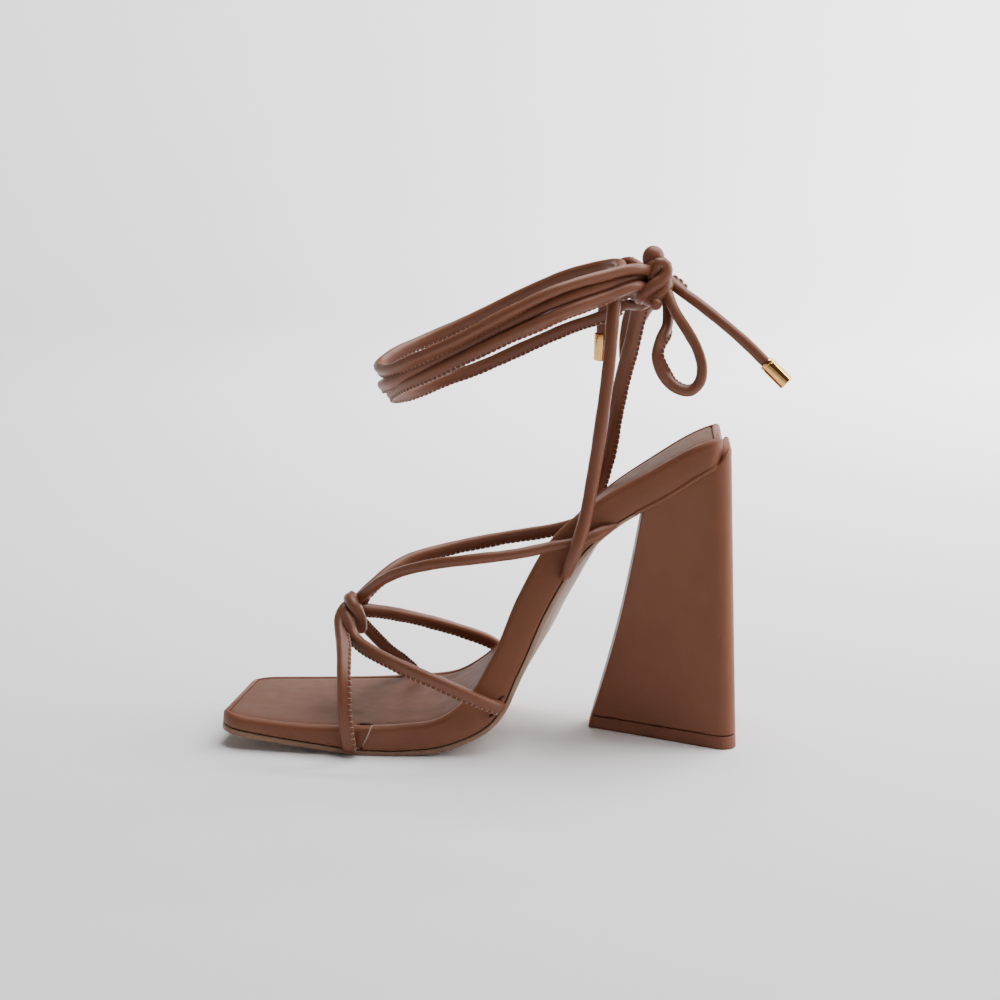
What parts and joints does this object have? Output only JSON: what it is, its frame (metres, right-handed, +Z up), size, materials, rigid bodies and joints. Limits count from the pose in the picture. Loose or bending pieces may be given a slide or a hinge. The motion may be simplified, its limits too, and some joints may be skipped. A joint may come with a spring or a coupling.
{
  "type": "heeled sandal",
  "caption": "Right-foot heeled lace-up sandal in tan leather, with a wrapped platform sole, a flared heel, knotted rolled straps and ankle laces tied in a bow.",
  "frame": {"origin": "on the floor, under the middle of the shoe's box without the bow", "axes": "+X from the toe to the heel, +Y to the lateral (outer) side, +Z up"},
  "size_m": [0.2168, 0.0881, 0.1879],
  "materials": {
    "tan_leather": "satin",
    "strap_leather": "satin",
    "sock_leather": "matte",
    "sole_leather": "matte",
    "lift_rubber": "matte",
    "gold_metal": "polished"
  },
  "bodies": {
    "root": {"outsole": "sole_leather", "midsole": "tan_leather", "insole": "sock_leather", "heel": "tan_leather", "top_lift": "lift_rubber", "upper": "strap_leather", "ankle_lacing": "strap_leather", "bow_knot": "strap_leather", "bow_loop_near": "strap_leather", "bow_loop_far": "strap_leather", "lace_end_near": "strap_leather", "lace_end_far": "strap_leather", "aglet_near": "gold_metal", "aglet_far": "gold_metal"}
  },
  "joints": []
}
